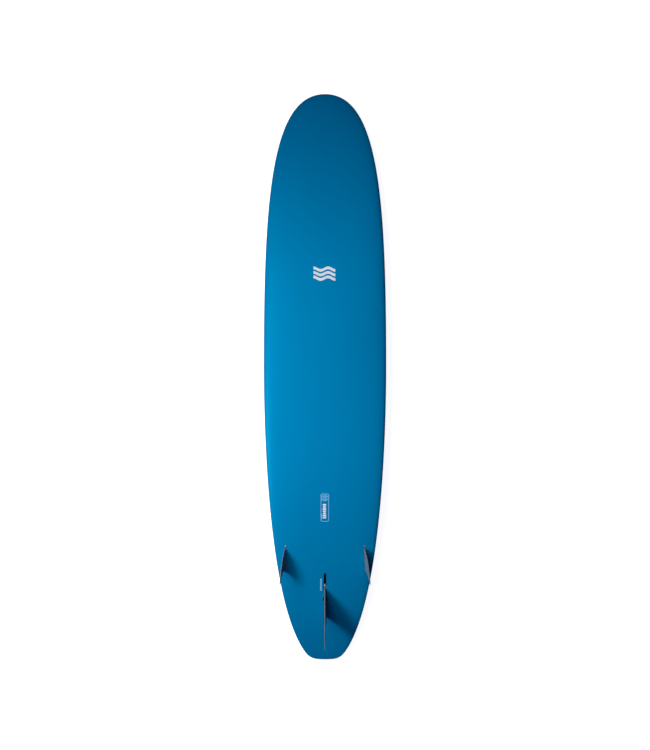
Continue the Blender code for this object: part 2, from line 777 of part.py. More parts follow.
def vent(frame):
    rim, well, seat, bore = (d / 2 for d in (VENT_DIAMETER, VENT_WELL, VENT_SEAT, VENT_BORE))
    turned(
        "vent_housing",
        (
            (bore, -VENT_DEPTH),
            (rim, -VENT_DEPTH),
            (rim, -RIM_RECESS),
            (well, -RIM_RECESS),
            (well, -VENT_WELL_DEPTH),
            (seat, -VENT_WELL_DEPTH),
            (seat, -VENT_SEAT_DEPTH),
            (bore, -VENT_SEAT_DEPTH),
        ),
        frame,
        BLACK_PLASTIC,
        ring=True,
    )
    rod("vent_membrane", MEMBRANE_DIAMETER, -MEMBRANE_FLOOR, -MEMBRANE_TOP, frame, MEMBRANE, sides=16)
    middle, half = O_RING_DIAMETER / 2, O_RING_THICKNESS / 2
    section = [k * math.pi / 4 for k in range(8)]
    turned(
        "vent_o_ring",
        [(middle + half * math.cos(a), half * math.sin(a) - O_RING_DEPTH) for a in section],
        frame,
        RUBBER,
        ring=True,
    )
    outer, inner = CAP_DIAMETER / 2, CAP_BORE / 2
    cap = turned(
        "vent_cap",
        ((inner, -CAP_FLOOR), (outer, -CAP_FLOOR), (outer, -CAP_TOP), (inner, -CAP_TOP)),
        frame,
        WHITE_NYLON,
        ring=True,
    )
    slot = (CAP_SLOT_WIDTH, CAP_DIAMETER + 2 * OVERLAP, CAP_SLOT_DEPTH + OVERLAP)
    combine(cap, block("vent_cap_slot", slot, OVERLAP - CAP_TOP, frame))
    return rod("vent_cavity", VENT_DIAMETER + 2 * GAP, -VENT_DEPTH - GAP, LID, frame)


def foam_block(name, size, frame, cavity):
    """Denser foam round a fin box, cut to the inside of the board, and the pocket it takes in the core."""
    width, length, depth = size
    made = block(name, (width, length, depth + LID), LID, frame, DENSE_FOAM)
    combine(made, inside, operation="INTERSECT")
    combine(made, cavity)
    pocket = (width + 2 * GAP, length + 2 * GAP, depth + GAP + LID)
    return block(name + "_pocket", pocket, LID, frame)


for old in list(bpy.data.objects):
    bpy.data.objects.remove(old)
board = make_collection("longboard")
cutters = make_collection("cutters")

centre_frame = surface_frame(0, CENTRE_BOX_Y, BOTTOM)
leash_frame = surface_frame(0, LEASH_Y, DECK)
vent_frame = surface_frame(VENT_X, VENT_Y, DECK)

inside = core("core_form", None, None)
left_foam = core("core_left", None, -STRINGER / 2 - GAP, FOAM)
right_foam = core("core_right", STRINGER / 2 + GAP, None, FOAM)
stringer = core("stringer", -STRINGER / 2, STRINGER / 2, WOOD)
bottom_skin = skin("bottom_skin", BOTTOM, PAINT)
deck_skin = skin("deck_skin", DECK, PAINT)

centre_cavity, centre_holes = centre_hardware(centre_frame)
centre_pocket = foam_block("centre_box_block", CENTRE_BLOCK, centre_frame, centre_cavity)
combine(bottom_skin, *centre_holes)
combine(stringer, centre_pocket)

for side, foam in ((-1, left_foam), (1, right_foam)):
    label = "right" if side > 0 else "left"
    place, cavity, hole = side_hardware(side)
    pocket = foam_block(f"side_box_block_{label}", SIDE_BLOCK, place, cavity)
    combine(bottom_skin, hole)
    combine(foam, centre_pocket, pocket)

leash_cavity = leash_plug(leash_frame)
leash_block = rod(
    "leash_plug_block", PLUG_BLOCK_DIAMETER, -PLUG_BLOCK_DEPTH, LID, leash_frame, DENSE_FOAM
)
combine(leash_block, inside, operation="INTERSECT")
combine(leash_block, leash_cavity)
leash_pocket = rod(
    "leash_pocket", PLUG_BLOCK_DIAMETER + 2 * GAP, -PLUG_BLOCK_DEPTH - GAP, LID, leash_frame
)
vent_cavity = vent(vent_frame)
for piece in (left_foam, right_foam, stringer):
    combine(piece, leash_pocket)
combine(right_foam, vent_cavity)
combine(deck_skin, leash_cavity, vent_cavity)
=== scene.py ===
"""The looks of the longboard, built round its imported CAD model. Metres, in the CAD's own frame."""

import math

import bmesh
import bpy
from mathutils import Matrix, Vector


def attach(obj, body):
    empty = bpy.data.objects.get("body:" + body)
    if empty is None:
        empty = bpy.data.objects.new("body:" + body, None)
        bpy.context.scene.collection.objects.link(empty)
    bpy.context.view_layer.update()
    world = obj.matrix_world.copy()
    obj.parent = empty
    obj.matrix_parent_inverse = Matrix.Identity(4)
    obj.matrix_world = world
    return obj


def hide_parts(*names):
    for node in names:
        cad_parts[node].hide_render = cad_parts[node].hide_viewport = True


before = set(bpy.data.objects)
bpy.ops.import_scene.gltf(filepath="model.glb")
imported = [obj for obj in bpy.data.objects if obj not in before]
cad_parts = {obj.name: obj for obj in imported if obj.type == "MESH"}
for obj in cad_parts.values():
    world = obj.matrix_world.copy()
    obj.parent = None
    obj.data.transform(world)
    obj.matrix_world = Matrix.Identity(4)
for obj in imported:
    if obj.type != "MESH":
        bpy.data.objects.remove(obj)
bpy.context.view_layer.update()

# The board's form, with the same numbers and formulas as the CAD model.
LENGTH = 2.743
WIDTH = 0.584
THICKNESS = 0.076
HALF_LENGTH = LENGTH / 2
HALF_WIDTH = WIDTH / 2
NOSE_CURVE = ((0, 1), (0.904, 1), (1, 0.608), (1, 0.024))
TAIL_CURVE = ((1, 0.024), (1, -0.136), (0.9575, -0.7736), (0.346, -0.9683))
END_CURVE = ((0.346, -0.9683), (0.255, -0.997), (0.183, -1), (0, -1))
CAD_CURVE_STEPS, CAD_RAIL_STEPS = (18, 11, 6), 6
CURVE_STEPS, RAIL_STEPS = (60, 40, 20), 24
NOSE_ROCKER, NOSE_ROCKER_POWER = 0.120, 2.6
TAIL_ROCKER, TAIL_ROCKER_POWER = 0.062, 2.4
NOSE_TIP_THICKNESS, NOSE_FOIL_POWER = 0.018, 2.4
TAIL_TIP_THICKNESS, TAIL_FOIL_POWER = 0.024, 2.8
DECK_POWER = 2.3
MID_BOTTOM_POWER, NOSE_BOTTOM_POWER, TAIL_BOTTOM_POWER = 5, 4, 7
MID_RAIL_SHARE, NOSE_RAIL_SHARE, TAIL_RAIL_SHARE = 0.42, 0.50, 0.27
FAN = 0.10
FAN_SPREAD = 0.12
SKIN = 0.0015
GAP = 0.0003

# Centre fin box and fin.
CENTRE_BOX_Y = -1.0715
RIM_RECESS, BOX_RECESS, BOX_SHOULDER = 0.0002, 0.00045, 0.0028
BOX_LENGTH, BOX_WIDTH, BOX_DEPTH = 0.267, 0.022, 0.0254
NECK_LENGTH, NECK_WIDTH = 0.258, 0.0124
SLOT_LENGTH, SLOT_WIDTH, SLOT_DEPTH = 0.254, 0.0096, 0.022
GROOVE_LENGTH, GROOVE_WIDTH = 0.250, 0.0165
GROOVE_TOP, GROOVE_FLOOR = 0.011, 0.016
NOTCH_WIDTH, NOTCH_LENGTH = 0.019, 0.012
EAR_LENGTH, EAR_WIDTH = 0.016, 0.022
CENTRE_FIN_LEADING = 0.0575
CENTRE_FIN_LEAD = ((0, 0), (-0.045, 0.085), (-0.110, 0.190), (-0.215, 0.203))
CENTRE_FIN_TRAIL = ((-0.145, 0), (-0.142, 0.045), (-0.165, 0.115), (-0.233, 0.196))
CENTRE_FIN_THICKNESS = 0.009
CENTRE_TAB_DEPTH, CENTRE_TAB_ENDS = 0.020, (-0.083, 0.052)
TONGUE_FRONT, TONGUE_TOP, TONGUE_FLOOR = 0.0727, 0.0033, 0.010
SCREW_Y, SCREW_HEAD, SCREW_HEAD_HEIGHT = 0.0685, 0.0080, 0.0026
SCREW_SHANK, SCREW_TIP_DEPTH = 0.0042, 0.0210
PLATE_WIDTH, PLATE_LENGTH, PLATE_THICKNESS = 0.0156, 0.011, 0.0028
PIN_Y, PIN_DEPTH, PIN_DIAMETER, PIN_LENGTH = -0.060, 0.0135, 0.0044, 0.0159

# Side fin boxes and fins.
SIDE_X, SIDE_Y = 0.1935, -0.878
TOE = math.radians(3.5)
CANT = math.radians(4)
SIDE_BOX_ENDS = (-0.062, 0.076)
SIDE_BOX_WIDTH, SIDE_BOX_DEPTH, SIDE_NECK_WIDTH = 0.016, 0.023, 0.012
SIDE_SLOT_ENDS = (-0.0575, 0.061)
SIDE_SLOT_WIDTH, SIDE_SLOT_DEPTH = 0.0074, 0.019
SIDE_FIN_LEADING = 0.057
SIDE_FIN_LEAD = ((0, 0), (-0.022, 0.050), (-0.062, 0.104), (-0.137, 0.108))
SIDE_FIN_TRAIL = ((-0.114, 0), (-0.112, 0.028), (-0.118, 0.070), (-0.151, 0.103))
SIDE_FIN_THICKNESS = 0.0066
SIDE_TAB_WIDTH, SIDE_TAB_SHOWN = 0.0070, 0.010
GRUB_Y, GRUB_ANGLE = 0.0675, math.radians(47.7)
GRUB_DIAMETER, GRUB_TOP, GRUB_LENGTH, GRUB_HEX = 0.0048, 0.0015, 0.010, 0.0025
INSERT_DIAMETER, INSERT_BORE, INSERT_LENGTH = 0.0066, 0.0054, 0.0045

# Fin foils: the thickness curve's factors of the root, first, second, third and fourth powers.
FOIL = (1.4845, -0.63, -1.758, 1.4215, -0.518)
TRAILING_EDGE, TIP_THINNING, FLAT_FACE_SHARE = 0.0004, 0.6, 0.35
TAB_TOP, TAB_TAPER, TAB_PLAY = 0.0002, 0.002, 0.0005
SIDE_BOX_STEP = 0.002
BOX_CORNER, NOTCH_CORNER, SIDE_NECK_CORNER, SIDE_SLOT_CORNER = 0.006, 0.003, 0.005, 0.001

# Deck hardware.
LEASH_Y = -1.276
CUP_DIAMETER, CUP_DEPTH = 0.028, 0.019
BOWL_DIAMETER, BOWL_DEPTH = 0.024, 0.016
BAR_DIAMETER, BAR_DEPTH = 0.0035, 0.005
VENT_X, VENT_Y = 0.045, 0.560
VENT_DIAMETER, VENT_DEPTH = 0.014, 0.012

BOTTOM, DECK = 1, -1
STAGE_RADIUS = 30


# ---- form ----


def bezier(curve, t):
    a, b, c, d = (Vector(point) for point in curve)
    s = 1 - t
    return a * s**3 + b * (3 * s * s * t) + c * (3 * s * t * t) + d * t**3


def blend(mid, nose, tail, y):
    share = abs(y) / HALF_LENGTH
    return mid + ((nose if y > 0 else tail) - mid) * share


def outline_points(curve_steps):
    points = [bezier(NOSE_CURVE, 0)]
    for curve, steps in zip((NOSE_CURVE, TAIL_CURVE, END_CURVE), curve_steps):
        points += [bezier(curve, k / steps) for k in range(1, steps + 1)]
    return [(x * HALF_WIDTH, y * HALF_LENGTH) for x, y in points]


def outline_x(y):
    share = max(-1, min(1, y / HALF_LENGTH))
    curve = next(c for c in (NOSE_CURVE, TAIL_CURVE, END_CURVE) if share >= c[3][1])
    low, high = 0, 1
    for _ in range(40):
        t = (low + high) / 2
        if bezier(curve, t).y > share:
            low = t
        else:
            high = t
    return bezier(curve, low).x * HALF_WIDTH


def spine_y(x, y):
    share = y / HALF_LENGTH
    return y - math.copysign((FAN + FAN_SPREAD * x / HALF_WIDTH) * share * share, y)


def rocker(y):
    share = abs(y) / HALF_LENGTH
    if y > 0:
        return NOSE_ROCKER * share**NOSE_ROCKER_POWER
    return TAIL_ROCKER * share**TAIL_ROCKER_POWER


def thickness(y):
    share = abs(y) / HALF_LENGTH
    tip = NOSE_TIP_THICKNESS if y > 0 else TAIL_TIP_THICKNESS
    power = NOSE_FOIL_POWER if y > 0 else TAIL_FOIL_POWER
    return tip + (THICKNESS - tip) * (1 - share**power)


def rail(edge_y, sheet):
    share = blend(MID_RAIL_SHARE, NOSE_RAIL_SHARE, TAIL_RAIL_SHARE, edge_y)
    if sheet == DECK:
        return DECK_POWER, share - 1
    return blend(MID_BOTTOM_POWER, NOSE_BOTTOM_POWER, TAIL_BOTTOM_POWER, edge_y), share


def apex_height(y, edge_y):
    return -rocker(y) - thickness(y) * rail(edge_y, BOTTOM)[1]


def loose_point(edge, sheet, angle):
    edge_x, edge_y = edge
    power, share = rail(edge_y, sheet)
    reach = math.sin(angle) ** (2 / power)
    lift = max(math.cos(angle), 0) ** (2 / power) if angle < math.pi / 2 else 0
    spine = spine_y(edge_x, edge_y)
    y = spine + reach * (edge_y - spine)
    return Vector((reach * edge_x, y, apex_height(y, edge_y) + thickness(y) * share * lift))


def resting_line():
    """(height, tilt) of the board on the floor, found on the CAD model's own points."""
    angles = [k * math.pi / 2 / CAD_RAIL_STEPS for k in range(CAD_RAIL_STEPS + 1)]
    edges = outline_points(CAD_CURVE_STEPS)
    deck = [loose_point(edge, DECK, a) for edge in edges for a in angles]
    tilt = 0
    for _ in range(4):
        nose = min((p for p in deck if p.y > 0), key=lambda p: p.z + tilt * p.y)
        tail = min((p for p in deck if p.y < 0), key=lambda p: p.z + tilt * p.y)
        tilt = (tail.z - nose.z) / (nose.y - tail.y)
    return -nose.z - tilt * nose.y, tilt


REST_HEIGHT, REST_TILT = resting_line()


def laid(point):
    return Vector((point.x, point.y, point.z + REST_HEIGHT + REST_TILT * point.y))


def surface_height(x, y, sheet):
    edge_y = y
    for _ in range(20):
        edge_x = outline_x(edge_y)
        reach = min(abs(x) / edge_x, 1)
        edge_y = y + (edge_y - spine_y(edge_x, edge_y)) * (1 - reach)
    power, share = rail(edge_y, sheet)
    height = apex_height(y, edge_y) + thickness(y) * share * (1 - reach**power) ** (1 / power)
    return height + REST_HEIGHT + REST_TILT * y


def surface_frame(x, y, sheet, heading=0):
    """Local axes on the hull: X across, Y forward, turned by heading, and Z straight out of the surface."""
    step = 0.004
    slope_x = surface_height(x + step, y, sheet) - surface_height(x - step, y, sheet)
    slope_y = surface_height(x, y + step, sheet) - surface_height(x, y - step, sheet)
    out = Vector((-slope_x, -slope_y, 2 * step)).normalized() * sheet
    forward = Vector((-math.sin(heading), math.cos(heading), 0))
    forward = (forward - out * forward.dot(out)).normalized()
    turn = Matrix((forward.cross(out), forward, out)).transposed().to_4x4()
    return Matrix.Translation((x, y, surface_height(x, y, sheet))) @ turn


def shift(x=0, y=0, z=0):
    return Matrix.Translation((x, y, z))


# ---- modelling tools ----


def link(name, mesh, place=None):
    made = bpy.data.objects.new(name, mesh)
    bpy.context.scene.collection.objects.link(made)
    if place is not None:
        made.matrix_world = place
    return made


def to_mesh(name, bm):
    bmesh.ops.recalc_face_normals(bm, faces=bm.faces)
    mesh = bpy.data.meshes.new(name)
    bm.to_mesh(mesh)
    bm.free()
    return mesh


def rounded_outline(length, width, radius, steps=10):
    corners = ((1, 1, 0), (-1, 1, 1), (-1, -1, 2), (1, -1, 3))
    points = []
    for side_x, side_y, quarter in corners:
        for k in range(steps + 1):
            angle = (quarter + k / steps) * math.pi / 2
            x = side_x * (width / 2 - radius) + radius * math.cos(angle)
            y = side_y * (length / 2 - radius) + radius * math.sin(angle)
            points.append((x, y))
    return points


def flat_mesh(name, outlines, low, high):
    """Flat outlines made solid from low to high; an outline inside another is a hole."""
    curve = bpy.data.curves.new(name, "CURVE")
    curve.dimensions = "2D"
    curve.fill_mode = "BOTH"
    curve.extrude = (high - low) / 2
    for outline in outlines:
        spline = curve.splines.new("POLY")
        spline.points.add(len(outline) - 1)
        for point, (u, v) in zip(spline.points, outline):
            point.co = (u, v, 0, 1)
        spline.use_cyclic_u = True
    drawn = link(name, curve)
    graph = bpy.context.evaluated_depsgraph_get()
    bm = bmesh.new()
    bm.from_mesh(bpy.data.meshes.new_from_object(drawn.evaluated_get(graph)))
    bpy.data.objects.remove(drawn)
    bmesh.ops.remove_doubles(bm, verts=bm.verts, dist=1e-6)
    bmesh.ops.translate(bm, verts=bm.verts, vec=(0, 0, (low + high) / 2))
    return bm


def extrusion(name, outline, low, high, place, sideways=False):
    bm = flat_mesh(name, [outline], low, high)
    if sideways:
        turn = Matrix(((0, 0, 1), (1, 0, 0), (0, 1, 0))).to_4x4()
        bmesh.ops.transform(bm, verts=bm.verts, matrix=turn)
    return link(name, to_mesh(name, bm), place)


def rod(name, diameter, low, high, place, sides=48):
    bm = bmesh.new()
    bmesh.ops.create_cone(
        bm,
        cap_ends=True,
        segments=sides,
        radius1=diameter / 2,
        radius2=diameter / 2,
        depth=high - low,
    )
    bmesh.ops.translate(bm, verts=bm.verts, vec=(0, 0, (low + high) / 2))
    return link(name, to_mesh(name, bm), place)


def block(name, size, top, place, foot=1):
    """A block whose upper face is at z = top; foot below 1 narrows its lower face."""
    width, length, depth = size
    bm = bmesh.new()
    bmesh.ops.create_cube(bm, size=1)
    for vertex in bm.verts:
        share = foot if vertex.co.z < 0 else 1
        x, y, z = vertex.co
        vertex.co = (x * width * share, y * length * share, (z - 0.5) * depth + top)
    return link(name, to_mesh(name, bm), place)


def turned(name, profile, place, ring=False, sides=64, thread=None):
    """Radius and height pairs turned about Z. A thread is (low, high, pitch, depth), cut into the radius."""
    rows = list(profile)
    if thread:
        low, high, pitch, depth = thread
        count = round((high - low) / pitch * 6)
        radius = next(r for r, z in profile if abs(z - low) < 1e-6)
        cut = [(radius, low + (high - low) * k / count) for k in range(1, count)]
        at = next(k for k, (r, z) in enumerate(rows) if abs(z - low) < 1e-6 and r == radius)
        if rows[(at + 1) % len(rows)][1] < low:
            cut.reverse()
            rows[at:at] = cut
        else:
            rows[at + 1 : at + 1] = cut
    bm = bmesh.new()
    rings = []
    for radius, z in rows:
        if radius == 0:
            rings.append([bm.verts.new((0, 0, z))] * sides)
            continue
        circle = []
        for k in range(sides):
            angle = 2 * math.pi * k / sides
            r = radius
            if thread and low < z < high:
                turn = ((z - low) / pitch - k / sides) % 1
                fade = min(1, (z - low) / pitch, (high - z) / pitch)
                r -= depth * fade * abs(2 * turn - 1)
            circle.append(bm.verts.new((r * math.cos(angle), r * math.sin(angle), z)))
        rings.append(circle)
    pairs = list(zip(rings, rings[1:])) + ([(rings[-1], rings[0])] if ring else [])
    for lower, upper in pairs:
        for k in range(sides):
            n = (k + 1) % sides
            corners = [lower[k], lower[n], upper[n], upper[k]]
            bm.faces.new(list(dict.fromkeys(corners)))
    return link(name, to_mesh(name, bm), place)


def soften(made, width=0.00025, segments=2, angle=35):
    """A small rounded edge all round, as on a moulded or machined piece."""
    bevel = made.modifiers.new("edge", "BEVEL")
    bevel.width = width
    bevel.segments = segments
    bevel.limit_method = "ANGLE"
    bevel.angle_limit = math.radians(angle)
    bevel.harden_normals = False
    bake_modifiers(made)
    return made


def carve(made, *tools, operation="DIFFERENCE"):
    """Boolean the tools into a piece, bake the result into its mesh and remove the tools."""
    for tool in tools:
        modifier = made.modifiers.new(tool.name, "BOOLEAN")
        modifier.operation = operation
        modifier.solver = "EXACT"
        modifier.object = tool
    bake_modifiers(made)
    for tool in tools:
        bpy.data.objects.remove(tool)
    return made


def bake_modifiers(made):
    """Bake the modifiers and the placement, so that the piece's own axes are the frame's."""
    graph = bpy.context.evaluated_depsgraph_get()
    made.data = bpy.data.meshes.new_from_object(made.evaluated_get(graph))
    made.modifiers.clear()
    made.data.transform(made.matrix_world)
    made.matrix_world = Matrix.Identity(4)


def smooth(made, angle=30):
    for polygon in made.data.polygons:
        polygon.use_smooth = True
    made.data.set_sharp_from_angle(angle=math.radians(angle))
    return made


def dress(made, finish):
    made.data.materials.clear()
    made.data.materials.append(finish)
    return made


def stand_in(made, finish, slot, body, *nodes):
    """A finished piece: its material, the body it rides on and the CAD nodes it shows. The slot argument is
    not used.
    """
    dress(made, finish)
    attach(made, body)
    if nodes:
        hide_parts(*nodes)
    return made


# ---- materials ----


def new_material(name, colour, roughness, metallic=0, **sockets):
    made = bpy.data.materials.new(name)
    made.use_nodes = True
    shader = made.node_tree.nodes["Principled BSDF"]
    shader.inputs["Base Color"].default_value = (*colour, 1)
    shader.inputs["Roughness"].default_value = roughness
    shader.inputs["Metallic"].default_value = metallic
    for socket, value in sockets.items():
        shader.inputs[socket.replace("_", " ")].default_value = value
    made.diffuse_color = (*colour, 1)
    return made


def noise(made, scale, detail=2, stretch=(1, 1, 1), rough=0.5):
    """A noise texture in the piece's own coordinates, its scale in features per metre."""
    nodes, links = made.node_tree.nodes, made.node_tree.links
    place = nodes.new("ShaderNodeTexCoord")
    spread = nodes.new("ShaderNodeMapping")
    spread.inputs["Scale"].default_value = stretch
    texture = nodes.new("ShaderNodeTexNoise")
    texture.inputs["Scale"].default_value = scale
    texture.inputs["Detail"].default_value = detail
    texture.inputs["Roughness"].default_value = rough
    links.new(place.outputs["Object"], spread.inputs["Vector"])
    links.new(spread.outputs["Vector"], texture.inputs["Vector"])
    return texture.outputs["Fac"]


def ramp(made, source, low, high, dark, light):
    """A colour that runs from dark to light as source runs from low to high."""
    node = made.node_tree.nodes.new("ShaderNodeValToRGB")
    node.color_ramp.elements[0].position = low
    node.color_ramp.elements[0].color = (*dark, 1)
    node.color_ramp.elements[1].position = high
    node.color_ramp.elements[1].color = (*light, 1)
    made.node_tree.links.new(source, node.inputs["Fac"])
    return node.outputs["Color"]


def spread(made, source, low, high):
    """source, which runs over about 0.3 to 0.7, as a value from low to high."""
    node = made.node_tree.nodes.new("ShaderNodeMapRange")
    node.inputs["From Min"].default_value = 0.3
    node.inputs["From Max"].default_value = 0.7
    node.inputs["To Min"].default_value = low
    node.inputs["To Max"].default_value = high
    made.node_tree.links.new(source, node.inputs["Value"])
    return node.outputs["Result"]


def feed(made, socket, output):
    shader = made.node_tree.nodes["Principled BSDF"]
    made.node_tree.links.new(output, shader.inputs[socket])


def bump(made, source, depth, strength=1):
    """Bump of the given depth in metres."""
    node = made.node_tree.nodes.new("ShaderNodeBump")
    node.inputs["Strength"].default_value = strength
    node.inputs["Distance"].default_value = depth
    made.node_tree.links.new(source, node.inputs["Height"])
    feed(made, "Normal", node.outputs["Normal"])


def scaled(colour, factor):
    return tuple(channel * factor for channel in colour)


def paint_finish(name, colour):
    made = new_material(name, colour, 0.42, Specular_IOR_Level=0.35)
    made.node_tree.nodes["Principled BSDF"].inputs["Specular Tint"].default_value = (0, 0.8, 1, 1)
    mottle = noise(made, 3, 3, (1, 0.5, 1))
    feed(made, "Base Color", ramp(made, mottle, 0.3, 0.7, scaled(colour, 0.96), scaled(colour, 1.04)))
    feed(made, "Roughness", spread(made, noise(made, 220, 3), 0.405, 0.435))
    bump(made, noise(made, 700, 2), 0.00002, 0.5)
    return made


def moulded(name, colour, roughness, grain=2600, depth=0.00003, drift=0.08):
    made = new_material(name, colour, roughness, Specular_IOR_Level=0.3)
    shade = noise(made, 60, 4)
    dark, light = scaled(colour, 1 - drift), scaled(colour, 1 + drift)
    feed(made, "Base Color", ramp(made, shade, 0.3, 0.7, dark, light))
    feed(made, "Roughness", spread(made, noise(made, 300, 3), roughness - 0.03, roughness + 0.03))
    bump(made, noise(made, grain, 2), depth, 0.6)
    return made


def foam(name, colour, cells):
    """Cut closed-cell foam: pits at the cell size, and a slow drift of colour."""
    made = new_material(name, colour, 0.9)
    nodes, links = made.node_tree.nodes, made.node_tree.links
    pits = nodes.new("ShaderNodeTexVoronoi")
    pits.inputs["Scale"].default_value = cells
    links.new(nodes.new("ShaderNodeTexCoord").outputs["Object"], pits.inputs["Vector"])
    feed(made, "Base Color", ramp(made, noise(made, 9, 3), 0.3, 0.7, scaled(colour, 0.92), colour))
    bump(made, pits.outputs["Distance"], 0.0003, 0.6)
    return made


def wood(name, colour):
    """Straight-grained stringer wood, its grain along Y."""
    made = new_material(name, colour, 0.6)
    grain = noise(made, 260, 5, (1, 0.02, 1), 0.6)
    feed(made, "Base Color", ramp(made, grain, 0.3, 0.7, scaled(colour, 0.6), scaled(colour, 1.15)))
    feed(made, "Roughness", spread(made, grain, 0.5, 0.7))
    bump(made, grain, 0.0001, 0.5)
    return made


def brushed(name, colour, roughness):
    made = new_material(name, colour, roughness, metallic=1)
    lines = noise(made, 900, 3, (1, 1, 12))
    feed(made, "Base Color", ramp(made, lines, 0.3, 0.7, scaled(colour, 0.88), scaled(colour, 1.08)))
    feed(made, "Roughness", spread(made, lines, roughness - 0.06, roughness + 0.06))
    bump(made, lines, 0.000008, 0.5)
    return made


PAINT = paint_finish("blue_satin_paint", (0.0, 0.228, 0.50))
BLACK = moulded("black_box_plastic", (0.003, 0.005, 0.009), 0.5)
BOX_BLUE = moulded("blue_box_plastic", (0.0, 0.20, 0.44), 0.5)
FIN = moulded("smoke_fin_plastic", (0.20, 0.25, 0.29), 0.38, grain=1500, depth=0.00002, drift=0.04)
STEEL = brushed("stainless", (0.50, 0.53, 0.56), 0.30)
BRASS = brushed("brass", (0.72, 0.50, 0.22), 0.32)
NYLON = moulded("white_nylon", (0.66, 0.80, 0.88), 0.45)
RUBBER = moulded("seal_rubber", (0.02, 0.02, 0.02), 0.65)
MEMBRANE = moulded("membrane_felt", (0.80, 0.80, 0.77), 0.7, grain=5000, depth=0.00006)
FOAM = foam("polystyrene_foam", (0.86, 0.85, 0.80), 450)
DENSE_FOAM = foam("dense_foam", (0.80, 0.74, 0.55), 1600)
WOOD = wood("stringer_wood", (0.52, 0.36, 0.19))
INK = moulded("white_ink", (0.88, 0.93, 0.96), 0.4, grain=900, depth=0.00001)
PALE_INK = moulded("pale_blue_ink", (0.24, 0.60, 0.92), 0.4, grain=900, depth=0.00001)


# ---- skins ----


def hull():
    bm = bmesh.new()
    edges = outline_points(CURVE_STEPS)
    last = len(edges) - 1
    points = {}

    def vertex(side, sheet, station, k):
        side = 1 if k == 0 or station in (0, last) else side
        sheet = BOTTOM if k == RAIL_STEPS else sheet
        key = side, sheet, station, k
        if key not in points:
            co = laid(loose_point(edges[station], sheet, k * math.pi / 2 / RAIL_STEPS))
            co.x *= side
            points[key] = bm.verts.new(co)
        return points[key]

    sheets = {BOTTOM: [], DECK: []}
    for side in (1, -1):
        for sheet, faces in sheets.items():
            for station in range(last):
                for k in range(RAIL_STEPS):
                    corners = [
                        vertex(side, sheet, station, k),
                        vertex(side, sheet, station + 1, k),
                        vertex(side, sheet, station + 1, k + 1),
                        vertex(side, sheet, station, k + 1),
                    ]
                    faces.append(bm.faces.new(corners[:: side * sheet]))
    bm.normal_update()
    return bm, sheets


def skin(name, sheet):
    """One sheet of the hull as a shell. Its rim ends a hair short of the rail's apex."""
    whole, sheets = hull()
    faces = set(sheets[sheet])
    clear = Vector((0, 0, sheet * 0.00002))
    bm = bmesh.new()
    outer, inner = {}, {}
    for vertex in {vertex for face in faces for vertex in face.verts}:
        depth = SKIN * vertex.calc_shell_factor()
        outer[vertex] = bm.verts.new(vertex.co + clear)
        inner[vertex] = bm.verts.new(vertex.co - vertex.normal * depth + clear)
    for face in faces:
        bm.faces.new([outer[vertex] for vertex in face.verts])
        bm.faces.new([inner[vertex] for vertex in reversed(face.verts)])
        for loop in face.loops:
            if any(other not in faces for other in loop.edge.link_faces):
                first, second = loop.vert, loop.link_loop_next.vert
                bm.faces.new((outer[second], outer[first], inner[first], inner[second]))
    whole.free()
    return link(name, to_mesh(name, bm))


def hole(name, length, width, radius, place):
    outline = rounded_outline(length + 2 * GAP, width + 2 * GAP, radius + GAP)
    return extrusion(name, outline, -0.006, 0.004, place)


def build_skins():
    bottom = skin("bottom_shell", BOTTOM)
    tools = [
        hole("neck_hole", NECK_LENGTH, NECK_WIDTH, NECK_WIDTH / 2, centre_frame),
        hole("ear_hole", EAR_LENGTH, EAR_WIDTH, NOTCH_CORNER, centre_frame),
    ]
    rear, front = SIDE_BOX_ENDS
    for side, place in side_frames.items():
        middle = place @ shift(y=(front + rear) / 2)
        length = front - rear - 2 * SIDE_BOX_STEP
        tools.append(hole(f"side_hole_{side}", length, SIDE_NECK_WIDTH, SIDE_NECK_CORNER, middle))
    carve(bottom, *tools)
    stand_in(smooth(bottom), PAINT, "blue_paint", "board", "bottom_skin")

    deck = skin("deck_shell", DECK)
    carve(
        deck,
        rod("leash_hole", CUP_DIAMETER + 2 * GAP, -0.01, 0.01, leash_frame),
        rod("vent_hole", VENT_DIAMETER + 2 * GAP, -0.01, 0.01, vent_frame),
    )
    stand_in(smooth(deck), PAINT, "blue_paint", "board", "deck_skin")


# ---- fins ----


def blade(name, lead, trail, front, thick, place, cant=0, flat_side=0, sections=48, cuts=24):
    """A foiled fin blade between its leading and trailing curves, standing on z = 0."""
    stations = [(1 - math.cos(math.pi * k / cuts)) / 2 for k in range(cuts + 1)]
    bm = bmesh.new()
    rows = []
    for n in range(sections + 1):
        t = math.sin(n / sections * math.pi / 2)
        nose, tail = bezier(lead, t), bezier(trail, t)
        depth = thick * (1 - TIP_THINNING * t**3)
        row = []
        for side in (1, -1):
            flat = side == flat_side
            share = 1 if not flat_side else FLAT_FACE_SHARE if flat else 2 - FLAT_FACE_SHARE
            for c in stations if side == 1 else stations[:0:-1]:
                foil = sum(k * c**power for k, power in zip(FOIL, (0.5, 1, 2, 3, 4)))
                half = side * share * (depth * foil + TRAILING_EDGE * c)
                spot = nose + (tail - nose) * c
                row.append(Vector((half + math.tan(cant) * spot.y, front + spot.x, spot.y)))
        rows.append([bm.verts.new(point) for point in row])
    for lower, upper in zip(rows, rows[1:]):
        for k in range(len(lower)):
            n = (k + 1) % len(lower)
            bm.faces.new((lower[k], lower[n], upper[n], upper[k]))
    bm.faces.new(rows[0])
    bm.faces.new(rows[-1])
    return link(name, to_mesh(name, bm), place)


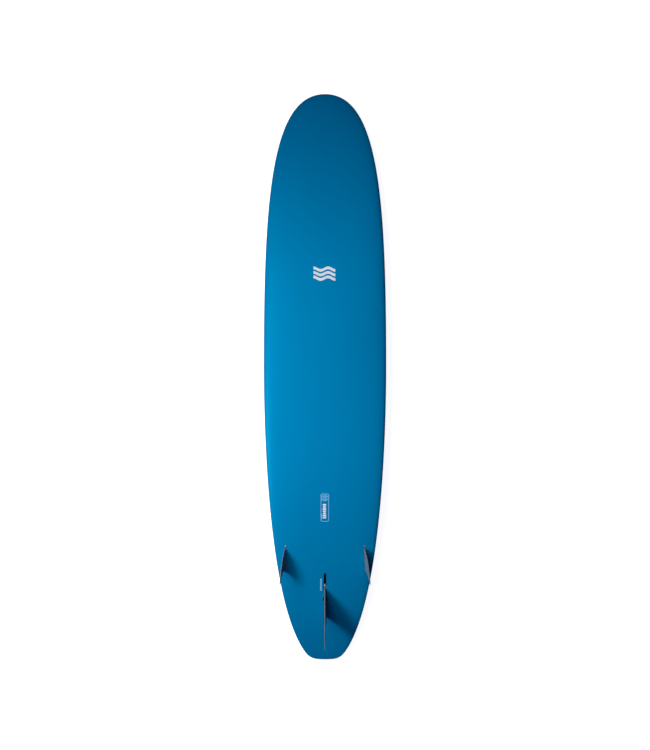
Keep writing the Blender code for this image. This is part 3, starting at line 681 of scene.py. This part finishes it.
def build_centre_fin():
    fin = blade(
        "centre_fin_visual",
        CENTRE_FIN_LEAD,
        CENTRE_FIN_TRAIL,
        CENTRE_FIN_LEADING,
        CENTRE_FIN_THICKNESS,
        centre_frame,
    )
    rear, front = CENTRE_TAB_ENDS
    outline = (
        (rear, -CENTRE_TAB_DEPTH),
        (front, -CENTRE_TAB_DEPTH),
        (front, -TONGUE_FLOOR),
        (TONGUE_FRONT, -TONGUE_FLOOR),
        (TONGUE_FRONT, -TONGUE_TOP),
        (front, -TONGUE_TOP),
        (front - TAB_TAPER, TAB_TOP),
        (rear + TAB_TAPER, TAB_TOP),
    )
    half = CENTRE_FIN_THICKNESS / 2
    carve(fin, extrusion("tab", outline, -half, half, centre_frame, True), operation="UNION")
    across = Matrix.Rotation(math.pi / 2, 4, "Y")
    pin_place = centre_frame @ shift(y=PIN_Y, z=-PIN_DEPTH) @ across
    carve(
        fin,
        rod("pin_hole", PIN_DIAMETER + 2 * GAP, -0.01, 0.01, pin_place),
        rod("screw_hole", SCREW_SHANK + 2 * GAP, -0.03, 0.01, centre_frame @ shift(y=SCREW_Y)),
    )
    stand_in(smooth(fin), FIN, "fin_plastic", "centre_fin_unit", "centre_fin")


def build_side_fin(side, place):
    label = "right" if side > 0 else "left"
    fin = blade(
        f"side_fin_{label}_visual",
        SIDE_FIN_LEAD,
        SIDE_FIN_TRAIL,
        SIDE_FIN_LEADING,
        SIDE_FIN_THICKNESS,
        place,
        cant=side * CANT,
        flat_side=-side,
    )
    rear, low = SIDE_SLOT_ENDS[0] + TAB_PLAY, -SIDE_TAB_SHOWN
    outline = (
        (rear, low),
        (SIDE_FIN_LEADING, low),
        (SIDE_FIN_LEADING, TAB_TOP),
        (rear, TAB_TOP),
    )
    half = SIDE_TAB_WIDTH / 2
    carve(fin, extrusion("tab", outline, -half, half, place, True), operation="UNION")
    stand_in(smooth(fin), FIN, "fin_plastic", "board", f"side_fin_{label}")


# ---- boxes, screws and plugs ----


def build_centre_box():
    place = centre_frame
    box = extrusion(
        "centre_box_visual",
        rounded_outline(BOX_LENGTH, BOX_WIDTH, BOX_CORNER),
        -BOX_DEPTH,
        -BOX_SHOULDER,
        place,
    )
    neck = rounded_outline(NECK_LENGTH, NECK_WIDTH, NECK_WIDTH / 2)
    ear = rounded_outline(EAR_LENGTH, EAR_WIDTH, NOTCH_CORNER)
    low = -BOX_SHOULDER - 0.001
    carve(
        box,
        extrusion("neck", neck, low, -BOX_RECESS, place),
        extrusion("ear", ear, low, -BOX_RECESS, place),
        operation="UNION",
    )
    slot = rounded_outline(SLOT_LENGTH, SLOT_WIDTH, SLOT_WIDTH / 2)
    notch = rounded_outline(NOTCH_LENGTH, NOTCH_WIDTH, NOTCH_CORNER)
    groove = (GROOVE_WIDTH, GROOVE_LENGTH, GROOVE_FLOOR - GROOVE_TOP)
    carve(
        box,
        extrusion("slot", slot, -SLOT_DEPTH, 0.002, place),
        block("groove", groove, -GROOVE_TOP, place),
        extrusion("notch", notch, -GROOVE_FLOOR, 0.002, place),
    )
    soften(box)
    stand_in(smooth(box), BLACK, "black_plastic", "board", "centre_fin_box")


def build_centre_fixings():
    """The pin, the plate with its threaded hole, and the pan-head screw with a cross recess."""
    across = centre_frame @ shift(y=PIN_Y, z=-PIN_DEPTH) @ Matrix.Rotation(math.pi / 2, 4, "Y")
    radius, reach, chamfer = PIN_DIAMETER / 2, PIN_LENGTH / 2, 0.0004
    half = (
        (0, -reach),
        (radius - chamfer, -reach),
        (radius, -reach + chamfer),
        (radius, reach - chamfer),
        (radius - chamfer, reach),
        (0, reach),
    )
    pin = turned("centre_pin_visual", half, across)
    soften(pin, 0.0001)
    stand_in(smooth(pin), BRASS, "brass_pin", "centre_fin_unit", "centre_fin_pin")

    place = centre_frame @ shift(y=SCREW_Y)
    top = -GROOVE_TOP - GAP
    corners = rounded_outline(PLATE_LENGTH, PLATE_WIDTH, 0.0012)
    plate = extrusion("centre_plate_visual", corners, top - PLATE_THICKNESS, top, place)
    bore = SCREW_SHANK / 2 + GAP
    sink = ((0, top - 0.004), (bore, top - 0.004), (bore, top - 0.0004), (bore + 0.0005, top + 0.0001))
    carve(plate, turned("bore", (*sink, (0, top + 0.0001)), place))
    soften(plate, 0.0002)
    stand_in(smooth(plate), STEEL, "stainless_steel", "centre_fin_unit", "centre_fin_plate")

    seat = GAP - TONGUE_TOP
    top = seat + SCREW_HEAD_HEIGHT
    head, shank = SCREW_HEAD / 2, SCREW_SHANK / 2
    dome = [
        (head * math.cos(a), seat + 0.0009 + (top - seat - 0.0009) * math.sin(a))
        for a in (k * math.pi / 2 / 10 for k in range(10))
    ]
    low = 0.0012 - SCREW_TIP_DEPTH
    screw = turned(
        "centre_screw_visual",
        (
            (0, -SCREW_TIP_DEPTH),
            (0.0010, -SCREW_TIP_DEPTH),
            (shank, low),
            (shank, seat - 0.0012),
            (shank, seat),
            (head - 0.0002, seat),
            (head, seat + 0.0002),
            *dome,
            (0, top),
        ),
        place,
        thread=(low, seat - 0.0012, 0.0008, 0.00035),
    )
    arm = SCREW_HEAD * 0.58
    carve(
        screw,
        block("cross_1", (arm, 0.0011, 0.0017), top + 0.0003, place, foot=0.55),
        block("cross_2", (0.0011, arm, 0.0017), top + 0.0003, place, foot=0.55),
    )
    stand_in(smooth(screw), STEEL, "stainless_steel", "centre_screw", "centre_fin_screw")


def build_side_box(side, frame_here):
    label = "right" if side > 0 else "left"
    rear, front = SIDE_BOX_ENDS
    middle = frame_here @ shift(y=(front + rear) / 2)
    outline = rounded_outline(front - rear, SIDE_BOX_WIDTH, BOX_CORNER)
    neck = rounded_outline(front - rear - 2 * SIDE_BOX_STEP, SIDE_NECK_WIDTH, SIDE_NECK_CORNER)
    box = extrusion(f"side_box_{label}_visual", outline, -SIDE_BOX_DEPTH, -BOX_SHOULDER, middle)
    rim = extrusion("neck", neck, -BOX_SHOULDER - 0.001, -RIM_RECESS, middle)
    carve(box, rim, operation="UNION")
    slot_rear, slot_front = SIDE_SLOT_ENDS
    slot = rounded_outline(slot_front - slot_rear, SIDE_SLOT_WIDTH, SIDE_SLOT_CORNER)
    slot_place = frame_here @ shift(y=(slot_front + slot_rear) / 2)
    port = frame_here @ shift(y=GRUB_Y) @ Matrix.Rotation(GRUB_ANGLE - math.pi / 2, 4, "X")
    bottom = -GRUB_TOP - GRUB_LENGTH - GAP - 0.001
    carve(
        box,
        extrusion("slot", slot, -SIDE_SLOT_DEPTH, 0.002, slot_place),
        rod("seat", INSERT_DIAMETER + 2 * GAP, -INSERT_LENGTH - GAP, 0.02, port),
        rod("port", INSERT_BORE, bottom, 0.02, port),
    )
    stand_in(smooth(soften(box, 0.0002)), BOX_BLUE, "blue_paint", "board", f"side_fin_box_{label}")

    bore, rim = INSERT_BORE / 2, INSERT_DIAMETER / 2
    ring = ((bore, -INSERT_LENGTH), (rim, -INSERT_LENGTH), (rim, 0.006), (bore, 0.006))
    insert = turned(f"side_insert_{label}_visual", ring, port, ring=True)
    lid = block("lid", (0.03, 0.04, 0.02), 0.02 - BOX_RECESS, frame_here @ shift(y=GRUB_Y))
    carve(insert, lid)
    soften(insert, 0.00025)
    stand_in(smooth(insert), NYLON, "white_nylon", "board", f"side_screw_insert_{label}")

    radius, top = GRUB_DIAMETER / 2, -GRUB_TOP
    low = top - GRUB_LENGTH
    grub = turned(
        f"side_grub_{label}_visual",
        (
            (0, low),
            (radius - 0.0007, low),
            (radius, low + 0.0007),
            (radius, top - 0.0004),
            (radius - 0.0004, top),
            (0, top),
        ),
        port,
        thread=(low + 0.0007, top - 0.0004, 0.0008, 0.0003),
    )
    socket = rod("hex", GRUB_HEX / math.cos(math.pi / 6), top - 0.003, 0.002, port, sides=6)
    carve(grub, socket)
    stand_in(smooth(grub), STEEL, "stainless_steel", f"side_screw_{label}", f"side_fin_screw_{label}")


def build_leash_plug():
    radius, bowl, top = CUP_DIAMETER / 2, BOWL_DIAMETER / 2, -RIM_RECESS
    fillet, lip = 0.004, 0.0005
    arc = [
        (bowl - fillet + fillet * math.sin(a), fillet - BOWL_DEPTH - fillet * math.cos(a))
        for a in (k * math.pi / 2 / 10 for k in range(11))
    ]
    cup = turned(
        "leash_cup_visual",
        (
            (0, -BOWL_DEPTH),
            *arc,
            (bowl, top - lip),
            (bowl + lip, top),
            (radius - lip, top),
            (radius, top - lip),
            (radius, -CUP_DEPTH),
            (0, -CUP_DEPTH),
        ),
        leash_frame,
        sides=96,
    )
    across = leash_frame @ shift(z=-BAR_DEPTH) @ Matrix.Rotation(math.pi / 2, 4, "Y")
    carve(cup, rod("bar_hole", BAR_DIAMETER + 2 * GAP, -0.02, 0.02, across))
    stand_in(smooth(cup), BLACK, "black_plastic", "board", "leash_plug_cup")
    reach, thick = radius - GAP, BAR_DIAMETER / 2
    bar_profile = (
        (0, -reach),
        (thick - 0.0005, -reach),
        (thick, 0.0005 - reach),
        (thick, reach - 0.0005),
        (thick - 0.0005, reach),
        (0, reach),
    )
    bar = turned("leash_bar_visual", bar_profile, across)
    bake_modifiers(bar)
    stand_in(smooth(bar), STEEL, "stainless_steel", "board", "leash_plug_bar")


def build_vent():
    radius, top, lip = VENT_DIAMETER / 2, -RIM_RECESS, 0.0003
    housing = turned(
        "vent_housing_visual",
        (
            (0.0015, -VENT_DEPTH),
            (radius, -VENT_DEPTH),
            (radius, top - lip),
            (radius - lip, top),
            (0.0048 + lip, top),
            (0.0048, top - lip),
            (0.0048, -0.0072),
            (0.0038, -0.0072),
            (0.0038, -0.0082),
            (0.0015, -0.0082),
        ),
        vent_frame,
        ring=True,
    )
    bake_modifiers(housing)
    stand_in(smooth(housing), BLACK, "black_plastic", "board", "vent_housing")
    section = [(k * math.pi / 8) for k in range(16)]
    oring = turned(
        "vent_ring_visual",
        [(0.0036 + 0.0008 * math.cos(a), 0.0008 * math.sin(a) - 0.0061) for a in section],
        vent_frame,
        ring=True,
    )
    bake_modifiers(oring)
    stand_in(smooth(oring, 60), RUBBER, "seal_rubber", "board", "vent_o_ring")
    cap = turned(
        "vent_cap_visual",
        (
            (0.0006, -0.0050),
            (0.0042, -0.0050),
            (0.0045, -0.0047),
            (0.0045, -0.0012),
            (0.0041, -0.0008),
            (0.0006, -0.0008),
        ),
        vent_frame,
        ring=True,
    )
    carve(cap, block("slot", (0.0012, 0.012, 0.002), 0.0002, vent_frame))
    soften(cap, 0.00012)
    stand_in(smooth(cap), NYLON, "white_nylon", "vent_cap", "vent_cap")


# ---- graphics, all of them plain shapes with no words ----


def decal(name, outlines, finish, centre):
    """Flat outlines laid on the bottom as a film half sunk in the paint."""
    bm = flat_mesh(name, outlines, 0, 1)
    low = min(v.co.y for v in bm.verts)
    high = max(v.co.y for v in bm.verts)
    cuts = max(1, round((high - low) / 0.008))
    for k in range(1, cuts):
        bmesh.ops.bisect_plane(
            bm,
            geom=bm.verts[:] + bm.edges[:] + bm.faces[:],
            plane_co=(0, low + (high - low) * k / cuts, 0),
            plane_no=(0, 1, 0),
        )
    for vertex in bm.verts:
        x, y = vertex.co.x + centre[0], vertex.co.y + centre[1]
        lift = 0.00012 if vertex.co.z > 0.5 else -0.0002
        vertex.co = (x, y, surface_height(x, y, BOTTOM) + lift)
    made = link(name, to_mesh(name, bm))
    dress(made, finish)
    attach(made, "board")
    return made


def bar(x, y, width, length, radius=None):
    radius = min(width, length) / 2.2 if radius is None else radius
    return [(u + x, v + y) for u, v in rounded_outline(length, width, radius, 4)]


def wave(y, width, rise, weight, steps=40):
    """A bar that runs in a sine wave along x."""
    xs = [width * (k / steps - 0.5) for k in range(steps + 1)]
    crest = [(x, y + rise * math.sin(2 * math.pi * 1.5 * x / width)) for x in xs]
    return [(x, v + weight / 2) for x, v in crest] + [(x, v - weight / 2) for x, v in crest[::-1]]


def build_graphics():
    waves = [wave(y, 0.104, 0.006, 0.0135) for y in (-0.0215, 0, 0.0215)]
    decal("nose_mark", waves, INK, (-0.003, 0.487))
    panel = (-0.001, -0.626)
    outline = [rounded_outline(0.134, 0.039, 0.007), rounded_outline(0.129, 0.034, 0.005)]
    decal("panel_frame", outline, PALE_INK, panel)
    hatch = [bar(0.002, 0.0335 + 0.0065 * k, (0.020, 0.026)[k % 2], 0.0032) for k in range(5)]
    edge = [bar(-0.0135, 0.0465, 0.003, 0.030), bar(-0.0148, -0.043, 0.004, 0.026)]
    decal("panel_hatch", hatch + edge, PALE_INK, panel)
    column = [bar(0, 0.0135 - 0.0103 * k, (0.0165, 0.0145, 0.0175)[k % 3], 0.0085) for k in range(7)]
    decal("panel_column", column, INK, (panel[0] - 0.0015, panel[1]))
    notches = [bar(0.0018, 0.0045 * k - 0.0225, 0.0022, 0.0012, 0.0003) for k in range(11)]
    decal("slot_scale", [bar(0, 0, 0.0078, 0.058, 0.002), *notches], PALE_INK, (-0.0193, -1.000))


# ---- stage, light and camera ----


def glowing(name, colour, roughness, strength):
    made = new_material(name, colour, roughness)
    shader = made.node_tree.nodes["Principled BSDF"]
    shader.inputs["Specular IOR Level"].default_value = 0
    shader.inputs["Emission Color"].default_value = (1, 1, 1, 1)
    shader.inputs["Emission Strength"].default_value = strength
    return made


def fade_in(made, near_glow, near, far_glow, far):
    """Glow that rises with the distance from the middle of the floor, which hides the floor's edge."""
    nodes, links = made.node_tree.nodes, made.node_tree.links
    length = nodes.new("ShaderNodeVectorMath")
    length.operation = "LENGTH"
    links.new(nodes.new("ShaderNodeTexCoord").outputs["Object"], length.inputs[0])
    rise = nodes.new("ShaderNodeMapRange")
    for socket, value in zip(("From Min", "From Max", "To Min", "To Max"), (near, far, near_glow, far_glow)):
        rise.inputs[socket].default_value = value
    links.new(length.outputs["Value"], rise.inputs["Value"])
    feed(made, "Emission Strength", rise.outputs["Result"])


def grid_card(width, length):
    bm = bmesh.new()
    bmesh.ops.create_grid(bm, x_segments=1, y_segments=1, size=0.5)
    bmesh.ops.scale(bm, verts=bm.verts, vec=(width, length, 1))
    return bm


def build_stage():
    """A white floor, and a white dome that only the camera sees."""
    bm = bmesh.new()
    bmesh.ops.create_circle(bm, cap_ends=True, segments=96, radius=STAGE_RADIUS)
    floor = link("floor", to_mesh("floor", bm))
    white = glowing("white_floor", (0.8, 0.8, 0.8), 0.9, 1)
    fade_in(white, 0.93, 2.0, 1.0, 4.0)
    dress(floor, white)
    floor.visible_diffuse = False
    floor.visible_glossy = False
    bm = bmesh.new()
    bmesh.ops.create_uvsphere(bm, u_segments=64, v_segments=32, radius=STAGE_RADIUS)
    dome = link("dome", to_mesh("dome", bm))
    dress(dome, glowing("white_dome", (0, 0, 0), 1, 1))
    for ray in ("diffuse", "glossy", "transmission", "volume_scatter", "shadow"):
        setattr(dome, "visible_" + ray, False)

    ceiling = link("ceiling", to_mesh("ceiling", grid_card(4.0, 5.0)))
    ceiling.location.z = 4.6
    dress(ceiling, glowing("white_card", (0, 0, 0), 1, 0.8))
    for ray in ("camera", "diffuse", "transmission", "volume_scatter", "shadow"):
        setattr(ceiling, "visible_" + ray, False)

    world = bpy.data.worlds.new("studio")
    bpy.context.scene.world = world
    world.use_nodes = True
    background = world.node_tree.nodes["Background"]
    background.inputs["Color"].default_value = (0.3, 0.35, 1, 1)
    background.inputs["Strength"].default_value = 0.07


def softbox(name, spot, size, power):
    """A rectangular light, its length along the board, turned to the board's centre line."""
    data = bpy.data.lights.new(name, "AREA")
    data.shape = "RECTANGLE"
    data.size, data.size_y = size
    data.energy = power
    made = link(name, data)
    away = Vector((spot[0], 0, spot[2] - REST_HEIGHT)).normalized()
    along = Vector((0, 1, 0))
    turn = Matrix((along.cross(away), along, away)).transposed().to_4x4()
    made.matrix_world = Matrix.Translation(spot) @ turn


def build_camera():
    data = bpy.data.cameras.new("camera")
    data.lens = 42.493
    data.sensor_width = 36
    made = link("camera", data)
    made.location = (0, 0.0062, REST_HEIGHT + 4.2)
    data.clip_end = 100
    bpy.context.scene.camera = made


centre_frame = surface_frame(0, CENTRE_BOX_Y, BOTTOM)
side_frames = {side: surface_frame(side * SIDE_X, SIDE_Y, BOTTOM, side * TOE) for side in (-1, 1)}
leash_frame = surface_frame(0, LEASH_Y, DECK)
vent_frame = surface_frame(VENT_X, VENT_Y, DECK)

build_skins()
build_centre_fin()
build_centre_box()
build_centre_fixings()
for side, place in side_frames.items():
    build_side_fin(side, place)
    build_side_box(side, place)
build_leash_plug()
build_vent()
build_graphics()

for node, finish in {
    "core_left": FOAM,
    "core_right": FOAM,
    "stringer": WOOD,
    "centre_box_block": DENSE_FOAM,
    "side_box_block_left": DENSE_FOAM,
    "side_box_block_right": DENSE_FOAM,
    "leash_plug_block": DENSE_FOAM,
    "vent_membrane": MEMBRANE,
}.items():
    dress(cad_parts[node], finish)

build_stage()
softbox("key", (-1.41, -0.5, REST_HEIGHT + 1.45), (0.6, 0.6), 28.2)
softbox("fill", (-0.9, 0.45, REST_HEIGHT + 1.75), (1.2, 1.2), 16.5)
build_camera()
bpy.context.scene.view_settings.view_transform = "Standard"
